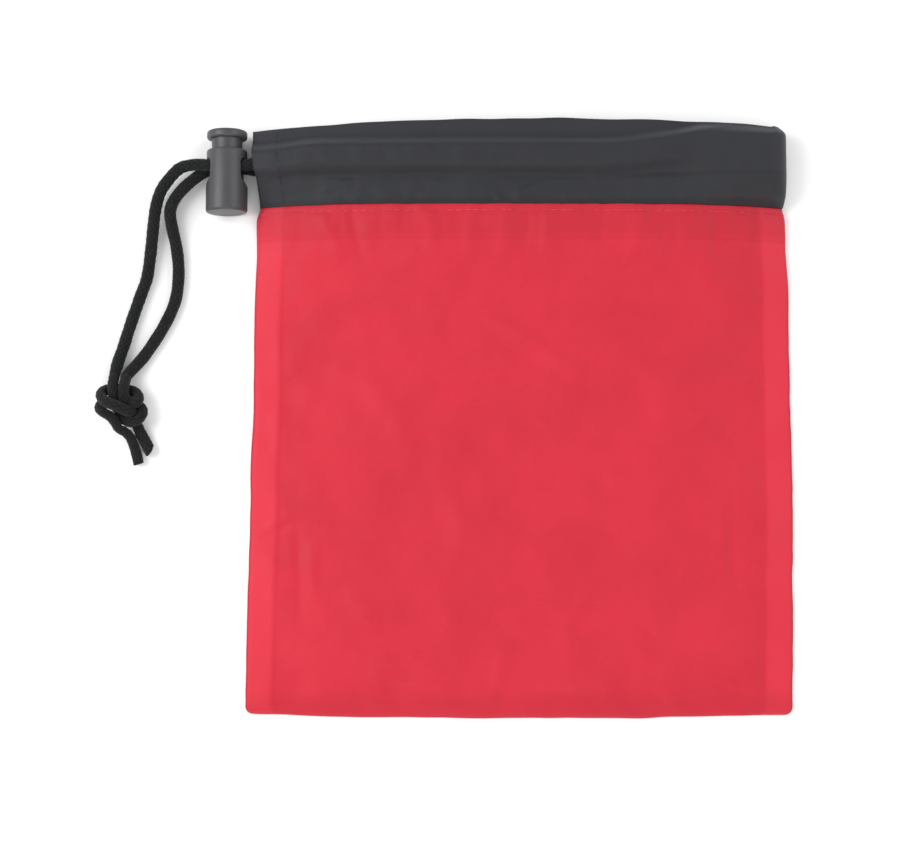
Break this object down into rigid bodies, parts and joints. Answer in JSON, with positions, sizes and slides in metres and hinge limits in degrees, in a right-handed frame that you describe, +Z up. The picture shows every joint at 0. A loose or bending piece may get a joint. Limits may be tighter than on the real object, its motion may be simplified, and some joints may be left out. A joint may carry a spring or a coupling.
{
  "type": "kinchaku drawstring pouch",
  "caption": "Flat fabric pouch whose mouth is drawn shut by a braided cord in a casing, held by a sprung barrel cord lock and a knot.",
  "frame": {"origin": "on the surface the pouch lies on, under the middle of the cloth pouch (body and casing, without the free cord and its lock)", "axes": "+Y from the closed bottom towards the mouth, +X to the pouch's folded side, +Z up off the surface"},
  "size_m": [0.208, 0.1777, 0.0152],
  "materials": {
    "red_nylon": "thin woven nylon, soft sheen",
    "black_nylon": "thin woven nylon, soft sheen",
    "black_cord": "braided polyester cord, matt",
    "grey_plastic": "moulded, fine satin",
    "spring_steel": "drawn wire"
  },
  "bodies": {
    "pouch": {"pouch_body": "red_nylon", "casing": "black_nylon", "drawcord_in_casing": "black_cord", "drawcord_front_strand": "black_cord", "drawcord_back_strand": "black_cord", "drawcord_knot": "black_cord", "drawcord_front_tail": "black_cord", "drawcord_back_tail": "black_cord"},
    "lock": {"cord_lock_barrel": "grey_plastic", "cord_lock_spring": "spring_steel"},
    "plunger": {"cord_lock_plunger": "grey_plastic"}
  },
  "joints": [
    {"name": "lock_travel", "type": "hinge", "parent": "pouch", "child": "lock", "pos_m": [-0.0877, 0.0539, 0.0063], "axis": [0, 0, 1], "range_deg": [0, 62], "deforming": ["drawcord_front_strand", "drawcord_back_strand"]},
    {"name": "plunger_press", "type": "slide", "parent": "lock", "child": "plunger", "axis": [0, -1, 0], "range_m": [0, 0.0026], "stiffness_N_per_m": 1000, "springref_m": -0.003, "deforming": ["cord_lock_spring"]}
  ]
}
